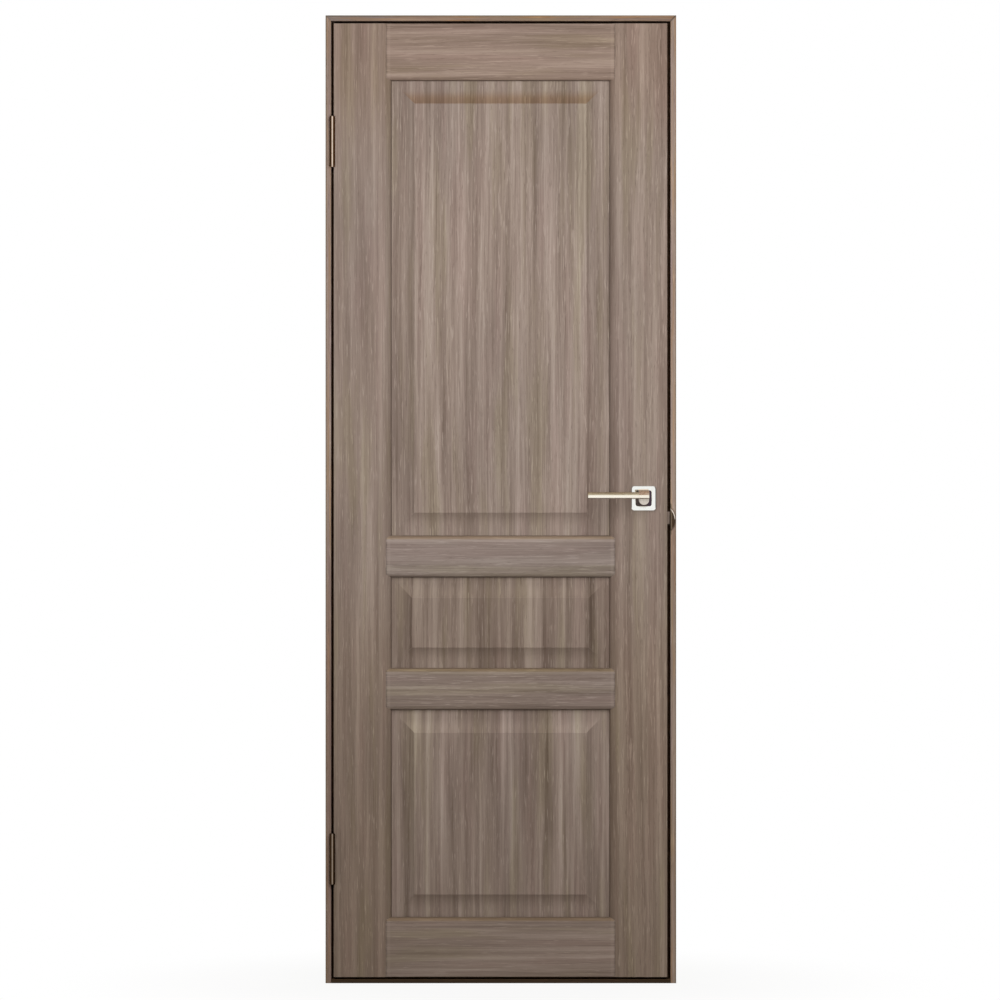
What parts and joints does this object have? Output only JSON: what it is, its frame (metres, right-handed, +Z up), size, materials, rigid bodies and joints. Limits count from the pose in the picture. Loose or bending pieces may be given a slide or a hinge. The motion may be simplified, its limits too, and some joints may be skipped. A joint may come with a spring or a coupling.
{
  "type": "interior door",
  "caption": "Interior door: stile-and-rail leaf with raised panels in a rebated frame, with butt hinges, lever handles on square roses and a spring latch.",
  "frame": {"origin": "on the outer face of the hinge jamb, at floor level, halfway through the frame's depth", "axes": "+X across the width from the hinge side to the lock side, +Y from the front, which the leaf opens towards, to the back, +Z up"},
  "size_m": [0.7355, 0.152, 2.03],
  "materials": {
    "frame_veneer": "grey-brown wood-grain veneer",
    "leaf_veneer": "grey-brown wood-grain veneer",
    "panel_veneer": "grey-brown veneer with stronger stripes",
    "threshold_wood": "dark brown stain",
    "seal_rubber": "dark brown",
    "hinge_steel": "bronze plated",
    "strike_brass": "bronze plated",
    "case_steel": "zinc plated",
    "polished_chrome": "polished",
    "dark_nickel": "black nickel",
    "satin_nickel": "satin nickel"
  },
  "bodies": {
    "frame": {"hinge_jamb": "frame_veneer", "strike_jamb": "frame_veneer", "frame_head": "frame_veneer", "hinge_stop": "frame_veneer", "strike_stop": "frame_veneer", "head_stop": "frame_veneer", "threshold": "threshold_wood", "threshold_stop": "threshold_wood", "hinge_seal": "seal_rubber", "strike_seal": "seal_rubber", "head_seal": "seal_rubber", "upper_hinge_frame_plate": "hinge_steel", "lower_hinge_frame_plate": "hinge_steel", "strike_plate": "strike_brass"},
    "leaf": {"hinge_stile": "leaf_veneer", "lock_stile": "leaf_veneer", "top_rail": "leaf_veneer", "upper_middle_rail": "leaf_veneer", "lower_middle_rail": "leaf_veneer", "bottom_rail": "leaf_veneer", "upper_panel": "panel_veneer", "middle_panel": "panel_veneer", "lower_panel": "panel_veneer", "upper_hinge_leaf_plate": "hinge_steel", "lower_hinge_leaf_plate": "hinge_steel", "upper_hinge_pin": "hinge_steel", "lower_hinge_pin": "hinge_steel", "latch_faceplate": "strike_brass", "latch_case": "case_steel", "front_rose_bezel": "polished_chrome", "front_rose_inlay": "dark_nickel", "rear_rose_bezel": "polished_chrome", "rear_rose_inlay": "dark_nickel"},
    "handle": {"spindle": "case_steel", "front_lever_neck": "satin_nickel", "front_lever_grip": "satin_nickel", "rear_lever_neck": "satin_nickel", "rear_lever_grip": "satin_nickel"},
    "latch": {"latch_bolt": "strike_brass"}
  },
  "joints": [
    {"name": "door_swing", "type": "hinge", "parent": "frame", "child": "leaf", "pos_m": [0.0145, -0.041, 1.013], "axis": [0, 0, -1], "range_deg": [0, 170]},
    {"name": "lever_turn", "type": "hinge", "parent": "leaf", "child": "handle", "pos_m": [0.667, -0.015, 1.017], "axis": [0, -1, 0], "range_deg": [0, 40], "stiffness_Nm_per_rad": 1.2, "springref_deg": -28.65},
    {"name": "latch_slide", "type": "slide", "parent": "leaf", "child": "latch", "axis": [-1, 0, 0], "range_m": [0, 0.006]}
  ],
  "couplings": [
    {"joint": "latch_slide", "follows": "lever_turn", "m_per_rad": 0.00859}
  ]
}
